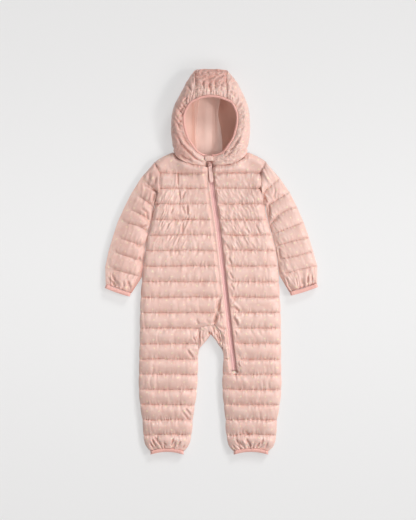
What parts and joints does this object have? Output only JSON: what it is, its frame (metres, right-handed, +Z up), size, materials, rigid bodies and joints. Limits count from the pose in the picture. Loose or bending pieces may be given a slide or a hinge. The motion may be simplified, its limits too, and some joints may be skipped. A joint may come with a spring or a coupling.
{
  "type": "baby snowsuit",
  "caption": "Hooded, quilted, padded one-piece snowsuit for a baby, with a diagonal zip and elastic cuffs, laid flat on its back.",
  "frame": {"origin": "on the surface the suit lies on, under the middle of its bounding box", "axes": "+X to the wearer's left, +Y up the body to the hood, +Z up from the surface"},
  "size_m": [0.4492, 0.8114, 0.0569],
  "materials": {
    "quilted_cloth": "satin woven shell over light padding, small pale spots",
    "lining_cloth": "plain smooth lining",
    "elastic_binding": "ribbed elastic binding",
    "zip_tape": "woven tape",
    "painted_slider": "painted to match the cloth"
  },
  "bodies": {
    "suit": {"front_right": "quilted_cloth", "front_left": "quilted_cloth", "crotch_gusset": "quilted_cloth", "back_right": "quilted_cloth", "back_left": "quilted_cloth", "sleeve_right": "quilted_cloth", "sleeve_left": "quilted_cloth", "hood_right": "quilted_cloth", "hood_centre": "quilted_cloth", "hood_left": "quilted_cloth", "lining_right": "lining_cloth", "lining_centre": "lining_cloth", "lining_left": "lining_cloth", "face_binding": "elastic_binding", "cuff_binding_right": "elastic_binding", "cuff_binding_left": "elastic_binding", "hem_binding_right": "elastic_binding", "hem_binding_left": "elastic_binding", "zip_tape_right": "zip_tape", "zip_tape_left": "zip_tape", "zip_garage": "quilted_cloth", "zip_slider": "painted_slider"},
    "pull": {"pull_tab": "painted_slider"}
  },
  "joints": [
    {"name": "pull_tab_hinge", "type": "hinge", "parent": "suit", "child": "pull", "pos_m": [-0.00404, 0.2045, 0.0191], "axis": [-0.9954, -0.0957, 0], "range_deg": [0, 100]}
  ]
}
